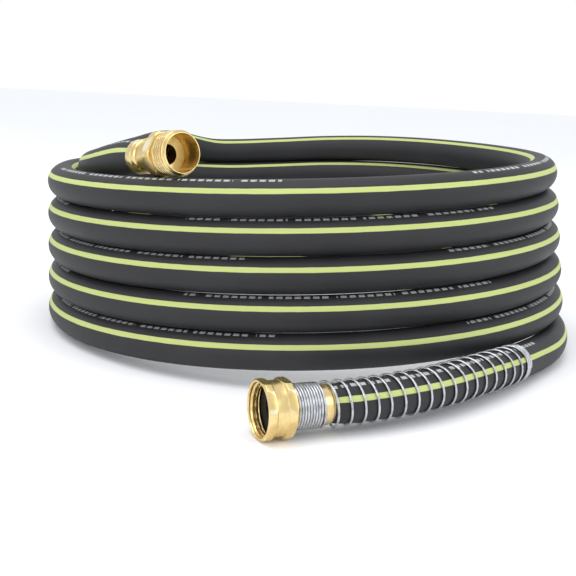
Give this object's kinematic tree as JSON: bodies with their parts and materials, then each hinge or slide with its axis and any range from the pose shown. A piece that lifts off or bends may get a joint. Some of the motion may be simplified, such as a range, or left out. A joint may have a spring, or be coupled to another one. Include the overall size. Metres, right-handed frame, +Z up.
{
  "type": "garden hose",
  "caption": "Coiled rubber garden hose with a swivel nut and spring guard on one end and a threaded brass fitting on the other.",
  "frame": {"origin": "on the floor, under the middle of the coil and its loose ends", "axes": "+Z up; -Y towards the loose end with the swivel nut; +X to the right as seen from there"},
  "size_m": [0.3772, 0.4696, 0.1457],
  "materials": {
    "hose_rubber": "matte charcoal rubber with two lime green stripes and pale printed dashes along it",
    "seal_rubber": "plain black seal rubber",
    "brass": "softly brushed yellow brass",
    "steel_wire": "bright drawn steel wire"
  },
  "bodies": {
    "hose": {"hose_coil": "hose_rubber", "hose_lead_female": "hose_rubber", "hose_lead_male": "hose_rubber", "female_tailpiece": "brass", "female_ferrule": "brass", "spring_guard": "steel_wire", "male_fitting": "brass", "male_ferrule": "brass"},
    "swivel_nut": {"coupling_nut": "brass", "hose_washer": "seal_rubber"}
  },
  "joints": [
    {"name": "nut_swivel", "type": "hinge", "parent": "hose", "child": "swivel_nut", "pos_m": [-0.01834, -0.21818, 0.0158], "axis": [-0.9135, -0.4067, 0], "continuous": true}
  ]
}
